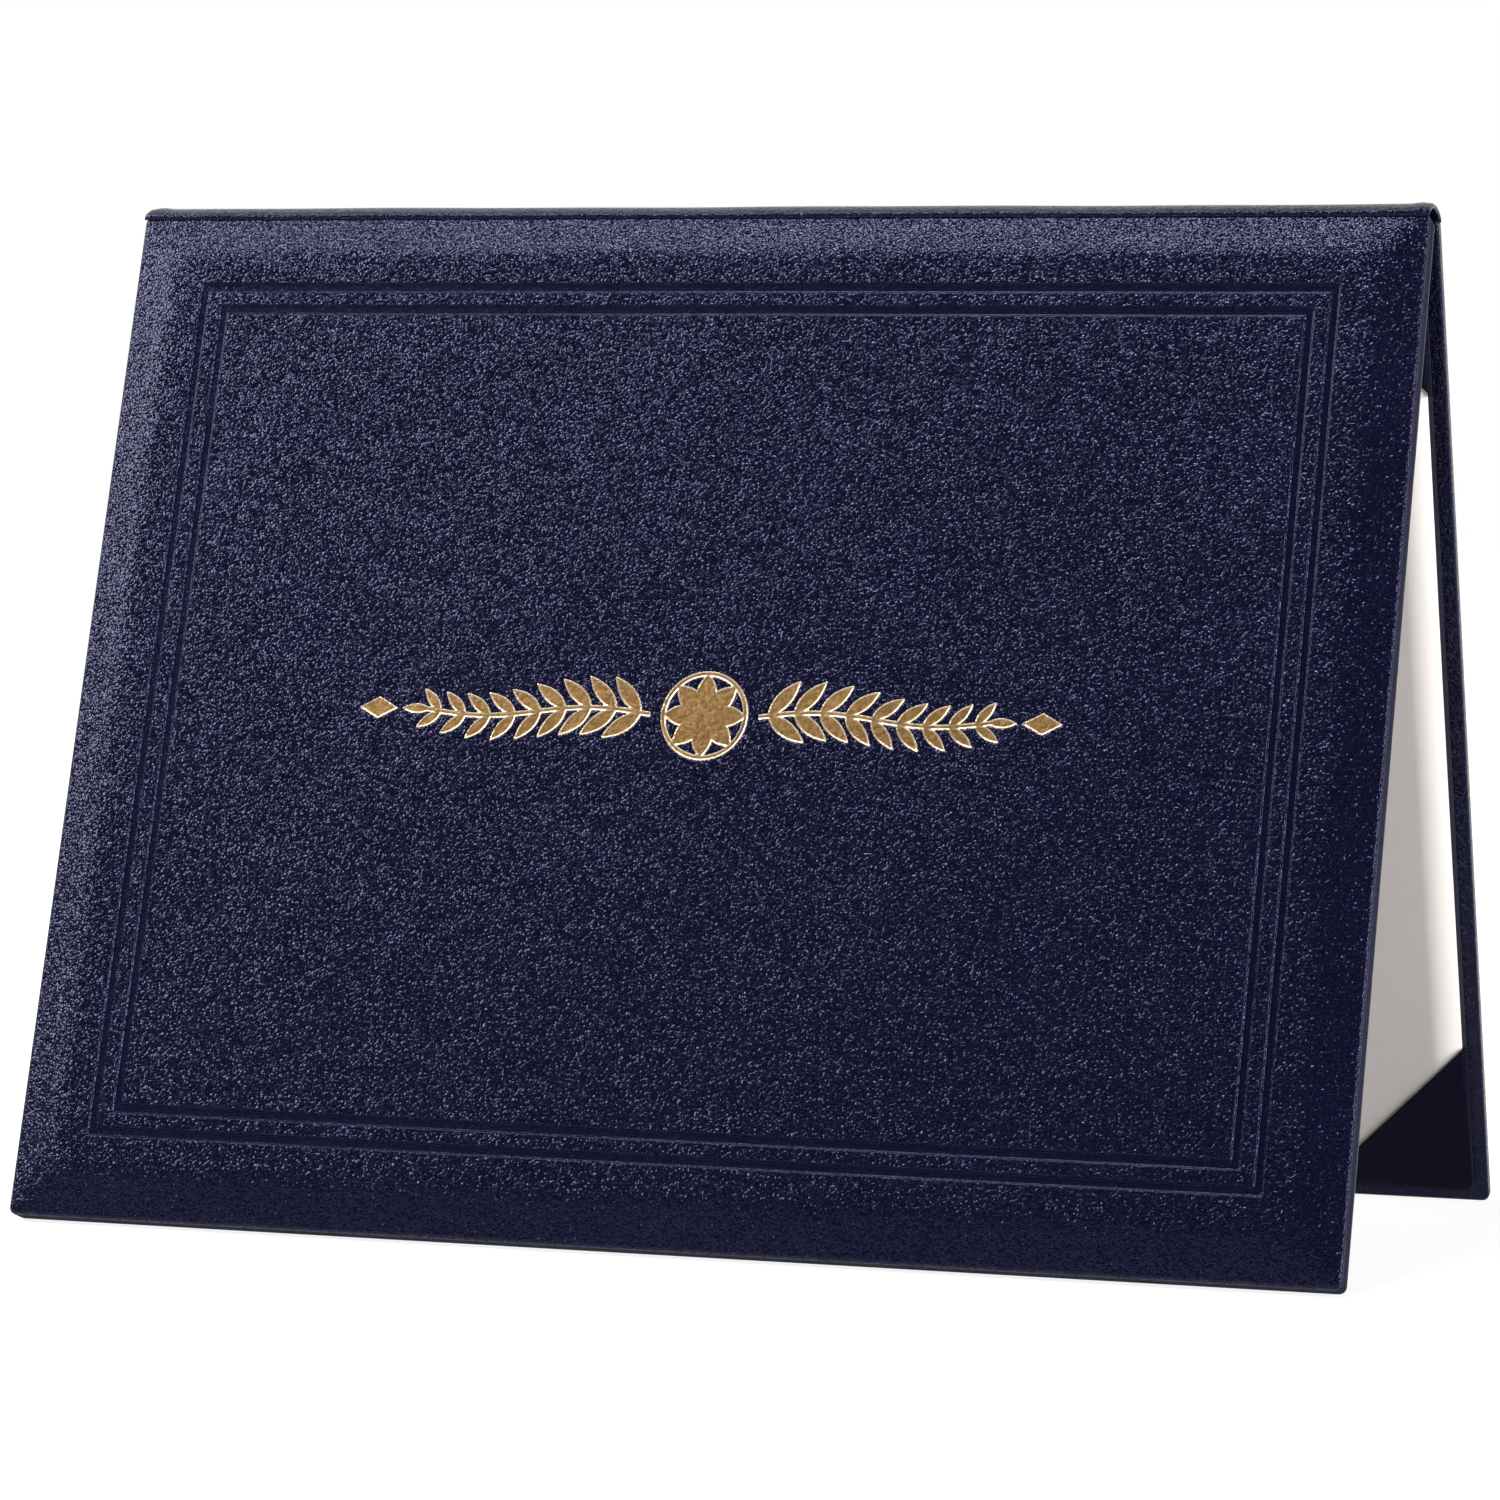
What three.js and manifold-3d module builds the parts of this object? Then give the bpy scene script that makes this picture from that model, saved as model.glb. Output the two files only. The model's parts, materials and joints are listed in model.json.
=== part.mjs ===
// Diploma cover standing open as a tent, spine at the top.
// Millimetres, +Z up. The padded front cover faces -Y and X runs along the spine.
import * as THREE from 'three';
import { mergeVertices } from 'three/addons/utils/BufferGeometryUtils.js';
import Module from 'manifold-3d';

const wasm = await Module();
wasm.setup();

// Outline of one cover
const coverWidth = 292;
const coverHeight = 226.8;
const coverCornerRadius = 1.6;
const tentHalfAngleDeg = 18.1;

// Layers of the covers
const skinThickness = 0.5;
const glueLine = 0.15;
const boardThickness = 1.8;
const turnInWidth = 14;
const frontEdgeThickness = 6;
const frontPadThickness = 4.9;
const padRollWidth = 11.5;
const frontEdgeRound = 0.6;
const backEdgeRound = 0.9;
const innerEdgeRound = 0.6;

// Pressed double frame on the front
const dieShiftUp = 0.5;
const frameInset = 17;
const grooveWidth = 2.2;
const groovePitch = 5.1;
const grooveDepth = 0.5;
const grooveWall = 0.35;
const frameCornerRadius = 0.3;

// Inside of the covers
const liningInset = 3.2;
const liningThickness = 0.4;
const liningCornerRadius = 0.8;
const sheetThickness = 0.25;
const sheetClearance = 0.15;
const sheetEdgeClearance = 0.35;
const sheetPlayAcross = 4.5;
const sheetPlayUp = 2.8;
const pocketLeg = 34.8;
const pocketWall = 0.5;
const pocketThickness = 0.35;
const closedClearance = 0.25;

// Spine
const hingeRise = 0.8;
const spineBulge = 1.6;
const spineSteps = 10;
const spineEndInset = 0.4;
const stripPeakRise = 0.35;

// Gold foil ornament
const foilThickness = 0.2;
const foilGap = 0.1;
const rosetteRadius = 9.6;
const rosetteRing = 0.9;
const rosettePetals = 8;
const petalWidth = 4.4;
const rosetteEye = 2.1;
const petalStart = 1.05;
const branchGap = 2.6;
const branchLength = 51;
const branchWave = 1.2;
const stemWidth = 0.9;
const leafPairs = 9;
const leafLength = 10.2;
const leafGap = 0.5;
const leafAngleDeg = 42;
const leafTaper = 0.4;
const leafBelly = 0.42;
const firstPairShare = 0.35;
const lozengeLength = 8.4;
const lozengeWidth = 4.6;
const lozengeGap = 1.4;

// Round stretches
const cornerSteps = 4;
const edgeSteps = 3;
const padSteps = 6;
const leafSteps = 6;
const stemStepsPerPair = 3;
const mergeDistance = 1e-5;

const navyLeather = { color: 0x1f1f47, roughness: 0.45, metalness: 0 };
const materials = {
  leather: new THREE.MeshStandardMaterial(navyLeather),
  lining: new THREE.MeshStandardMaterial({ color: 0x16162e, roughness: 0.6, metalness: 0 }),
  board: new THREE.MeshStandardMaterial({ color: 0x8d8578, roughness: 0.9, metalness: 0 }),
  foam: new THREE.MeshStandardMaterial({ color: 0xd9d6cc, roughness: 0.95, metalness: 0 }),
  paper: new THREE.MeshStandardMaterial({ color: 0xdcd8d4, roughness: 0.8, metalness: 0 }),
  foil: new THREE.MeshStandardMaterial({ color: 0xb88c4b, roughness: 0.35, metalness: 1 })
};

// Heights are measured outward from the inner face of a cover's turn-in.
const boardBase = skinThickness + glueLine;
const boardInset = skinThickness + glueLine;
const boardTop = boardBase + boardThickness;
const padBase = boardTop + glueLine;
const padTop = padBase + frontPadThickness;
const frontPlateau = padTop + glueLine + skinThickness;
const backThickness = boardTop + glueLine + skinThickness;
const liningTop = -glueLine;
const liningBase = liningTop - liningThickness;
const sheetTop = liningBase - sheetClearance;
const pocketRoof = sheetTop - sheetThickness - sheetClearance;
const pocketFace = pocketRoof - pocketThickness;
const hingeHalfGap = (closedClearance - liningBase - pocketFace) / 2;
const foilHeight = frontPlateau + foilGap;

// The certificate has some play between the walls of its pockets.
const sheetRoomAcross = coverWidth - 2 * (liningInset + pocketWall + sheetEdgeClearance);
const sheetRoomUp = coverHeight - 2 * (liningInset + pocketWall + sheetEdgeClearance);
const sheetWidth = sheetRoomAcross - sheetPlayAcross;
const sheetHeight = sheetRoomUp - sheetPlayUp;
const branchStart = rosetteRadius + branchGap;

// Leaves of a branch stand side by side with a gap between them.
const leafSpread = THREE.MathUtils.degToRad(leafAngleDeg);
const leafWidth = branchLength / leafPairs * Math.sin(leafSpread) - leafGap;

// A rounded rectangle loop, counter-clockwise, inset from the cover's outline.
function insetLoop({ inset, height, radius, shift = 0 }) {
  const loop = [];
  const halfWidth = coverWidth / 2 - inset;
  const halfHeight = coverHeight / 2 - inset;
  const centres = [[1, 1, 0], [-1, 1, 1], [-1, -1, 2], [1, -1, 3]];
  for (const [sideX, sideY, quarter] of centres) {
    for (let step = 0; step <= cornerSteps; step += 1) {
      const angle = (quarter + step / cornerSteps) * Math.PI / 2;
      const x = sideX * (halfWidth - radius) + radius * Math.cos(angle);
      const y = sideY * (halfHeight - radius) + radius * Math.sin(angle) + shift;
      loop.push(x, y, height);
    }
  }
  return loop;
}

// Loops joined into a skin, closed by a fan over the first and the last loop.
function loopsToGeometry(path) {
  const loops = path.map(insetLoop);
  const perLoop = loops[0].length / 3;
  const positions = loops.flat();
  const indices = [];
  for (let ring = 0; ring + 1 < loops.length; ring += 1) {
    for (let k = 0; k < perLoop; k += 1) {
      const next = (k + 1) % perLoop;
      const a = ring * perLoop + k;
      const b = ring * perLoop + next;
      const c = a + perLoop;
      const d = b + perLoop;
      indices.push(a, c, d, a, d, b);
    }
  }
  const first = path[0];
  const last = path[path.length - 1];
  const firstCentre = positions.length / 3;
  positions.push(0, first.shift ?? 0, first.height, 0, last.shift ?? 0, last.height);
  const lastStart = (loops.length - 1) * perLoop;
  for (let k = 0; k < perLoop; k += 1) {
    const next = (k + 1) % perLoop;
    indices.push(firstCentre, k, next);
    indices.push(firstCentre + 1, lastStart + next, lastStart + k);
  }
  const geometry = new THREE.BufferGeometry();
  geometry.setAttribute('position', new THREE.Float32BufferAttribute(positions, 3));
  geometry.setIndex(indices);
  return geometry;
}

function cornerAt(inset) {
  return Math.max(coverCornerRadius - inset, frameCornerRadius);
}

function pathPoint(inset, height, shift = 0) {
  return { inset, height, shift, radius: cornerAt(inset) };
}

// Outer face of a cover: from the flat middle over the edge to the end of the turn-in.
function edgeAndTurnIn(edgeHeight, round) {
  const path = [];
  for (let step = 0; step <= edgeSteps; step += 1) {
    const angle = step / edgeSteps * Math.PI / 2;
    const inset = round - round * Math.sin(angle);
    path.push(pathPoint(inset, edgeHeight - round + round * Math.cos(angle)));
  }
  for (let step = 0; step <= edgeSteps; step += 1) {
    const angle = step / edgeSteps * Math.PI / 2;
    const inset = innerEdgeRound * (1 - Math.cos(angle));
    path.push(pathPoint(inset, innerEdgeRound * (1 - Math.sin(angle))));
  }
  path.push(pathPoint(turnInWidth, 0));
  return path;
}

// The way in from the same edge, one skin thickness inside it.
function underEdgeAndTurnIn(edgeHeight) {
  return [
    pathPoint(skinThickness, edgeHeight - skinThickness),
    pathPoint(skinThickness, skinThickness),
    pathPoint(turnInWidth, skinThickness)
  ];
}

function grooveAt(inset, plateau) {
  const floor = plateau - grooveDepth;
  return [
    pathPoint(inset + grooveWidth, plateau, dieShiftUp),
    pathPoint(inset + grooveWidth - grooveWall, floor, dieShiftUp),
    pathPoint(inset + grooveWall, floor, dieShiftUp),
    pathPoint(inset, plateau, dieShiftUp)
  ];
}

// The padding falls from the plateau to the edge along a quarter of an ellipse.
function padRoll(edgeInset, edgeHeight, plateau) {
  const path = [];
  for (let step = 0; step < padSteps; step += 1) {
    const angle = step / padSteps * Math.PI / 2;
    const inset = edgeInset + (padRollWidth - edgeInset) * (1 - Math.sin(angle));
    const height = edgeHeight + (plateau - edgeHeight) * Math.cos(angle);
    path.push(pathPoint(inset, height, dieShiftUp * (inset / padRollWidth)));
  }
  return path;
}

// Face of the padded cover, or of a layer that lies deeper under it.
function frontFace(depth, edgeInset) {
  const plateau = frontPlateau - depth;
  return [
    ...grooveAt(frameInset + groovePitch, plateau),
    ...grooveAt(frameInset, plateau),
    ...padRoll(edgeInset, frontEdgeThickness - depth, plateau)
  ];
}

function backFace(depth) {
  return [pathPoint(frameInset, backThickness - depth)];
}

function toManifold(geometry) {
  const plain = geometry.clone();
  plain.deleteAttribute('normal');
  plain.deleteAttribute('uv');
  const merged = mergeVertices(plain, mergeDistance);
  const mesh = new wasm.Mesh({
    numProp: 3,
    vertProperties: new Float32Array(merged.attributes.position.array),
    triVerts: new Uint32Array(merged.index.array)
  });
  return new wasm.Manifold(mesh);
}

function fromManifold(solid) {
  const mesh = solid.getMesh();
  const geometry = new THREE.BufferGeometry();
  geometry.setAttribute('position', new THREE.BufferAttribute(mesh.vertProperties, 3));
  geometry.setIndex(new THREE.BufferAttribute(mesh.triVerts, 1));
  return geometry;
}

function boxSolid(low, high) {
  const size = low.map((value, k) => high[k] - value);
  const box = new THREE.BoxGeometry(...size);
  box.translate(...low.map((value, k) => (value + high[k]) / 2));
  return toManifold(box);
}

// Leatherette of one cover. At the spine it isn't turned in: it runs on over the spine.
function coverSkin(face, underFace, edgeThickness, edgeRound) {
  const outer = [...face, ...edgeAndTurnIn(edgeThickness, edgeRound)];
  const under = [...underFace, ...underEdgeAndTurnIn(edgeThickness)];
  const skin = toManifold(loopsToGeometry([...outer, ...under.reverse()]));
  const top = coverHeight / 2;
  const sideRoom = coverWidth / 2 - skinThickness - glueLine;
  const wallCut = boxSolid(
    [-sideRoom, top - skinThickness - glueLine, -glueLine],
    [sideRoom, top + glueLine, edgeThickness - skinThickness - glueLine]
  );
  const turnInRoom = coverWidth / 2 - turnInWidth;
  const turnInCut = boxSolid(
    [-turnInRoom, top - turnInWidth - glueLine, -glueLine],
    [turnInRoom, top + glueLine, boardBase]
  );
  return fromManifold(skin.subtract(wallCut).subtract(turnInCut));
}

function slabPath(inset, radius, low, high) {
  return [{ inset, height: high, radius }, { inset, height: low, radius }];
}

function padGeometry() {
  const depth = skinThickness + glueLine;
  const side = [pathPoint(boardInset, frontEdgeThickness - depth), pathPoint(boardInset, padBase)];
  return loopsToGeometry([...frontFace(depth, boardInset), ...side]);
}

// Flat outline in the sheet's plane, extruded outward from a height.
function extrudeAt(shape, height, depth) {
  const options = { depth, bevelEnabled: false, curveSegments: leafSteps };
  const geometry = new THREE.ExtrudeGeometry(shape, options);
  geometry.translate(0, 0, height);
  return geometry;
}

function polygonShape(points) {
  return new THREE.Shape(points.map(([x, y]) => new THREE.Vector2(x, y)));
}

// Corner pocket: a triangle of leatherette with walls along its two outer edges.
function pocketGeometry(sideX, sideY) {
  const cornerX = coverWidth / 2 - liningInset;
  const cornerY = coverHeight / 2 - liningInset;
  const place = (alongX, alongY) => [sideX * (cornerX - alongX), sideY * (cornerY - alongY)];
  const outline = [place(0, 0), place(pocketLeg, 0), place(0, pocketLeg)];
  const longLeg = pocketLeg + pocketWall * 2;
  const room = [place(pocketWall, pocketWall), place(longLeg, pocketWall), place(pocketWall, longLeg)];
  const foot = liningBase - glueLine;
  const body = toManifold(extrudeAt(polygonShape(outline), pocketFace, foot - pocketFace));
  const hollow = toManifold(extrudeAt(polygonShape(room), pocketRoof, foot - pocketRoof + glueLine));
  return fromManifold(body.subtract(hollow));
}

// The certificate has slid down and to one side, into the lower right pocket as seen from the front.
function certificateGeometry() {
  const sheet = new THREE.BoxGeometry(sheetWidth, sheetHeight, sheetThickness);
  sheet.translate(-sheetPlayAcross / 2, -sheetPlayUp / 2, sheetTop - sheetThickness / 2);
  return sheet;
}

// A point beside the hinge, from its height along a cover and its distance out from the middle.
function beside(side, along, out) {
  const lean = THREE.MathUtils.degToRad(tentHalfAngleDeg);
  const y = side * (out * Math.cos(lean) - along * Math.sin(lean));
  return new THREE.Vector2(y, out * Math.sin(lean) + along * Math.cos(lean));
}

function arcBetween(start, end, bulge, steps) {
  const chord = end.clone().sub(start);
  const half = chord.length() / 2;
  const radius = (half * half + bulge * bulge) / (2 * bulge);
  const up = new THREE.Vector2(-chord.y, chord.x).normalize();
  const centre = start.clone().add(end).multiplyScalar(0.5).addScaledVector(up, bulge - radius);
  const from = Math.atan2(start.y - centre.y, start.x - centre.x);
  const to = Math.atan2(end.y - centre.y, end.x - centre.x);
  return { centre, radius, from, to, steps };
}

function arcPoints({ centre, radius, from, to, steps }, grow) {
  const points = [];
  for (let step = 0; step <= steps; step += 1) {
    const angle = from + (to - from) * step / steps;
    const reach = radius + grow;
    points.push([centre.x + reach * Math.cos(angle), centre.y + reach * Math.sin(angle)]);
  }
  return points;
}

// A section drawn in Y and Z, drawn out along the spine.
function alongSpine(section, length) {
  const geometry = new THREE.ExtrudeGeometry(polygonShape(section), { depth: length, bevelEnabled: false });
  geometry.rotateX(Math.PI / 2);
  geometry.rotateZ(Math.PI / 2);
  geometry.translate(-length / 2, 0, 0);
  return geometry;
}

// The leatherette between the covers arches over the gap between their top edges.
function spineGeometry() {
  const lift = glueLine - hingeRise;
  const start = beside(-1, lift, hingeHalfGap + frontEdgeThickness - spineEndInset);
  const end = beside(1, lift, hingeHalfGap + backThickness - spineEndInset);
  const arc = arcBetween(start, end, spineBulge, spineSteps);
  const section = [...arcPoints(arc, skinThickness), ...arcPoints(arc, 0).reverse()];
  return alongSpine(section, coverWidth);
}

// The strip inside the spine is glued to both boards and folds at the hinge.
function hingeStripGeometry() {
  const foot = -hingeRise - turnInWidth;
  const inner = [];
  const outer = [];
  for (const side of [-1, 1]) {
    inner.push(beside(side, foot, hingeHalfGap), beside(side, -hingeRise, hingeHalfGap));
    outer.push(
      beside(side, foot, hingeHalfGap + skinThickness),
      beside(side, -hingeRise, hingeHalfGap + skinThickness)
    );
  }
  const underPeak = new THREE.Vector2(0, stripPeakRise);
  const overPeak = new THREE.Vector2(0, stripPeakRise + skinThickness);
  const section = [
    inner[0], inner[1], underPeak, inner[3], inner[2],
    outer[2], outer[3], overPeak, outer[1], outer[0]
  ];
  const length = coverWidth - 2 * (turnInWidth + glueLine);
  return alongSpine(section.map((point) => [point.x, point.y]), length);
}

// A pointed leaf from a base point, at an angle.
function leafShape(x, y, length, width, angle) {
  const along = new THREE.Vector2(Math.cos(angle), Math.sin(angle));
  const across = new THREE.Vector2(-along.y, along.x);
  const at = (u, v) => new THREE.Vector2(x, y).addScaledVector(along, u).addScaledVector(across, v);
  const tip = at(length, 0);
  const left = at(length * leafBelly, width);
  const right = at(length * leafBelly, -width);
  const shape = new THREE.Shape();
  shape.moveTo(x, y);
  shape.quadraticCurveTo(right.x, right.y, tip.x, tip.y);
  shape.quadraticCurveTo(left.x, left.y, x, y);
  return shape;
}

function joined(shapes, height) {
  const solids = shapes.map((shape) => toManifold(extrudeAt(shape, height, foilThickness)));
  return fromManifold(solids.reduce((whole, solid) => whole.add(solid)));
}

function stemY(t) {
  return branchWave * Math.sin(t * Math.PI * 2);
}

function stemAngle(t) {
  return Math.atan(branchWave * Math.PI * 2 * Math.cos(t * Math.PI * 2) / branchLength);
}

// A laurel branch: a waved stem with pairs of leaves that grow smaller towards its tip.
function branchGeometry(side) {
  const shapes = [];
  const upper = [];
  const lower = [];
  const stemSteps = leafPairs * stemStepsPerPair;
  for (let step = 0; step <= stemSteps; step += 1) {
    const t = step / stemSteps;
    const x = branchStart + branchLength * t;
    upper.push([side * x, dieShiftUp + stemY(t) + stemWidth / 2]);
    lower.push([side * x, dieShiftUp + stemY(t) - stemWidth / 2]);
  }
  shapes.push(polygonShape([...upper, ...lower.reverse()]));
  for (let pair = 0; pair < leafPairs; pair += 1) {
    const t = (pair + firstPairShare) / leafPairs;
    const size = 1 - leafTaper * t;
    const x = branchStart + branchLength * t;
    for (const up of [-1, 1]) {
      const spread = stemAngle(t) + leafSpread * up;
      const angle = side > 0 ? spread : Math.PI - spread;
      const base = dieShiftUp + stemY(t);
      shapes.push(leafShape(side * x, base, leafLength * size, leafWidth * size, angle));
    }
  }
  const tipX = side * (branchStart + branchLength - stemWidth);
  const tipAngle = side > 0 ? 0 : Math.PI;
  const tipSize = 1 - leafTaper;
  shapes.push(leafShape(tipX, dieShiftUp, leafLength * tipSize, leafWidth * tipSize, tipAngle));
  return joined(shapes, foilHeight);
}

function lozengeGeometry(side) {
  const tipReach = branchStart + branchLength - stemWidth + leafLength * (1 - leafTaper);
  const start = tipReach + lozengeGap;
  const points = [
    [start, 0], [start + lozengeLength / 2, -lozengeWidth / 2],
    [start + lozengeLength, 0], [start + lozengeLength / 2, lozengeWidth / 2]
  ];
  const shape = polygonShape(points.map(([x, y]) => [side * x, y + dieShiftUp]));
  return joined([shape], foilHeight);
}

// Rosette: petals round an eye, inside a ring.
function rosetteGeometry() {
  const ring = new THREE.Shape().absarc(0, dieShiftUp, rosetteRadius, 0, Math.PI * 2);
  ring.holes.push(new THREE.Path().absarc(0, dieShiftUp, rosetteRadius - rosetteRing, 0, Math.PI * 2));
  const shapes = [new THREE.Shape().absarc(0, dieShiftUp, rosetteEye, 0, Math.PI * 2)];
  for (let petal = 0; petal < rosettePetals; petal += 1) {
    const angle = petal / rosettePetals * Math.PI * 2;
    const startX = petalStart * Math.cos(angle);
    const startY = dieShiftUp + petalStart * Math.sin(angle);
    const length = rosetteRadius - rosetteRing / 2 - petalStart;
    shapes.push(leafShape(startX, startY, length, petalWidth, angle));
  }
  return joined([ring, ...shapes], foilHeight);
}

function addMesh(group, name, geometry, material) {
  const mesh = new THREE.Mesh(geometry, materials[material]);
  mesh.name = name;
  group.add(mesh);
  return mesh;
}

// A cover hangs from the hinge and leans to its side. Its sheet plane turns to face outward.
function coverGroup(side) {
  const lean = new THREE.Group();
  lean.rotation.x = side * THREE.MathUtils.degToRad(tentHalfAngleDeg);
  const turned = new THREE.Group();
  turned.rotation.z = side > 0 ? Math.PI : 0;
  const plane = new THREE.Group();
  plane.rotation.x = Math.PI / 2;
  plane.position.set(0, -hingeHalfGap, -hingeRise - coverHeight / 2);
  lean.add(turned);
  turned.add(plane);
  return { lean, plane };
}

const tent = new THREE.Group();
const front = coverGroup(-1);
const back = coverGroup(1);
tent.add(front.lean, back.lean);

const boardPath = slabPath(boardInset, cornerAt(boardInset), boardBase, boardTop);
const frontSkin = coverSkin(
  frontFace(0, frontEdgeRound), frontFace(skinThickness, frontEdgeRound), frontEdgeThickness, frontEdgeRound
);
const backSkin = coverSkin(backFace(0), backFace(skinThickness), backThickness, backEdgeRound);
const liningPath = slabPath(liningInset, liningCornerRadius, liningBase, liningTop);

addMesh(front.plane, 'cover_front', frontSkin, 'leather');
addMesh(front.plane, 'front_pad', padGeometry(), 'foam');
addMesh(front.plane, 'front_board', loopsToGeometry(boardPath), 'board');
addMesh(front.plane, 'front_lining', loopsToGeometry(liningPath), 'lining');
addMesh(front.plane, 'foil_rosette', rosetteGeometry(), 'foil');
for (const [side, word] of [[-1, 'left'], [1, 'right']]) {
  addMesh(front.plane, `foil_branch_${word}`, branchGeometry(side), 'foil');
  addMesh(front.plane, `foil_lozenge_${word}`, lozengeGeometry(side), 'foil');
}

addMesh(back.plane, 'cover_back', backSkin, 'leather');
addMesh(back.plane, 'back_board', loopsToGeometry(boardPath), 'board');
addMesh(back.plane, 'back_lining', loopsToGeometry(liningPath), 'lining');
addMesh(back.plane, 'certificate', certificateGeometry(), 'paper');
for (const [sideY, level] of [[1, 'upper'], [-1, 'lower']]) {
  for (const [sideX, word] of [[1, 'left'], [-1, 'right']]) {
    addMesh(back.plane, `pocket_${level}_${word}`, pocketGeometry(sideX, sideY), 'leather');
  }
}

addMesh(tent, 'cover_spine', spineGeometry(), 'leather');
addMesh(tent, 'hinge_strip', hingeStripGeometry(), 'leather');

// The tent stands on z = 0 with its box centred on the origin.
tent.updateMatrixWorld(true);
const box = new THREE.Box3().setFromObject(tent, true);
tent.position.set(-(box.min.x + box.max.x) / 2, -(box.min.y + box.max.y) / 2, -box.min.z);

const diplomaCover = new THREE.Group();
diplomaCover.add(tent);
export default diplomaCover;
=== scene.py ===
# Diploma cover standing as a tent: leatherette, spine, pockets, sheet and gold ornament round the
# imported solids.
import json
import math
import bpy
import numpy as np
from mathutils import Matrix, Vector


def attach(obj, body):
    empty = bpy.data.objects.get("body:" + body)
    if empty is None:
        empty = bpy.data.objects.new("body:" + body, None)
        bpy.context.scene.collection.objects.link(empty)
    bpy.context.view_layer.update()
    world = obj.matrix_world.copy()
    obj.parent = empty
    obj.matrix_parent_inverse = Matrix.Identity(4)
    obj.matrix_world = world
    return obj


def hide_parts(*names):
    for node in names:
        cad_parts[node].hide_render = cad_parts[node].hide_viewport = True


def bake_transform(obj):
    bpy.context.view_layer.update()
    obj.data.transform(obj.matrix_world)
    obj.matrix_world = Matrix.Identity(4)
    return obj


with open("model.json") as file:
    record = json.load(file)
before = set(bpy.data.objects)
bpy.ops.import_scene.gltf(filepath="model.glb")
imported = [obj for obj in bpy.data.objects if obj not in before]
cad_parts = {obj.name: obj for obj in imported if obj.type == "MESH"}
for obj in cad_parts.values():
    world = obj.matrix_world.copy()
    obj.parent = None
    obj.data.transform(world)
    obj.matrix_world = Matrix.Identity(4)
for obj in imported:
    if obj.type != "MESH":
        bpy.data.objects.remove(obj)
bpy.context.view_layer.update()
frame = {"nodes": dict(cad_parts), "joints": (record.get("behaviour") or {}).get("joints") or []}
nodes = frame["nodes"]
hinge = frame["joints"][0]["pos_m"]
print("frame loaded:", len(nodes), "solids")

mm = 0.001

# The tent, in millimetres. A place on a cover is across (X), down from the cover's top edge,
# and out from its inner face.
tent = {
    "width": 292.0,
    "height": 226.8,
    "halfAngle": math.radians(18.1),
    "halfGap": 1.125,
    "hingeRise": 0.8,
    "hingeY": hinge[1] / mm,
    "hingeZ": hinge[2] / mm,
}


# Leans a cover's own coordinates to its side of the hinge: side is -1 for the front, 1 for the back.
def onCover(side, across, down, out):
    across, down, out = np.broadcast_arrays(across, down, out)
    along = -tent["hingeRise"] - down
    reach = tent["halfGap"] + out
    sine, cosine = math.sin(tent["halfAngle"]), math.cos(tent["halfAngle"])
    y = tent["hingeY"] + side * (reach * cosine - along * sine)
    z = tent["hingeZ"] + reach * sine + along * cosine
    return np.stack([across, y, z], -1).reshape(-1, 3) * mm


# A step that rises smoothly from 0 at low to 1 at high.
def ease(value, low, high):
    share = np.clip((value - low) / (high - low), 0, 1)
    return share * share * (3 - 2 * share)


# Quads between neighbouring rows and columns of a grid whose points are numbered row by row.
def gridFaces(rows, columns, wrap=False, start=0):
    across = np.arange(columns if wrap else columns - 1)
    row, column = np.meshgrid(np.arange(rows - 1), across, indexing="ij")
    beside = (column + 1) % columns
    corners = [row * columns + column, row * columns + beside,
               (row + 1) * columns + beside, (row + 1) * columns + column]
    return np.stack([c.ravel() for c in corners], -1) + start


# A grid that closes on itself across its columns, with its first and last rows as caps.
def tubeFaces(rows, columns):
    ring = np.arange(columns)[None, :]
    return [gridFaces(rows, columns, wrap=True), ring[:, ::-1], (rows - 1) * columns + ring]


# Triangles between two edges with different numbers of points, taken in the order of their shares 0 to 1.
def zipFaces(first, firstShare, second, secondShare):
    firstTurn = (firstShare[1:] + firstShare[:-1]) / 2
    secondTurn = (secondShare[1:] + secondShare[:-1]) / 2
    across = second[np.searchsorted(secondTurn, firstTurn, side="left")]
    back = first[np.searchsorted(firstTurn, secondTurn, side="right")]
    return np.concatenate([
        np.stack([first[:-1], first[1:], across], -1),
        np.stack([second[1:], second[:-1], back], -1),
    ])


# Puts new data into the scene as an object.
def addObject(name, data):
    holder = bpy.data.objects.new(name, data)
    bpy.context.scene.collection.objects.link(holder)
    return holder


# A smooth mesh from points in metres and sets of faces, with one value per point for each attribute.
def makePiece(name, points, faceSets, material, attributes=None):
    mesh = bpy.data.meshes.new(name)
    mesh.from_pydata(points.tolist(), [], [face for faces in faceSets for face in faces.tolist()])
    mesh.polygons.foreach_set("use_smooth", np.ones(len(mesh.polygons), bool))
    for key, values in (attributes or {}).items():
        layer = mesh.attributes.new(key, "FLOAT", "POINT")
        layer.data.foreach_set("value", np.asarray(values, np.float32))
    mesh.materials.append(material)
    mesh.update()
    return addObject(name, mesh)


# A new material, its node tree and its shader.
def newMaterial(name):
    material = bpy.data.materials.new(name)
    material.use_nodes = True
    tree = material.node_tree
    return material, tree, tree.nodes["Principled BSDF"]


# A node with its settings, and its inputs by number or name: a socket is linked, a value is set.
def addNode(tree, kind, inputs=None, **settings):
    node = tree.nodes.new(kind)
    for key, value in settings.items():
        setattr(node, key, value)
    for key, value in (inputs or {}).items():
        if isinstance(value, bpy.types.NodeSocket):
            tree.links.new(value, node.inputs[key])
        else:
            node.inputs[key].default_value = value
    return node


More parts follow.
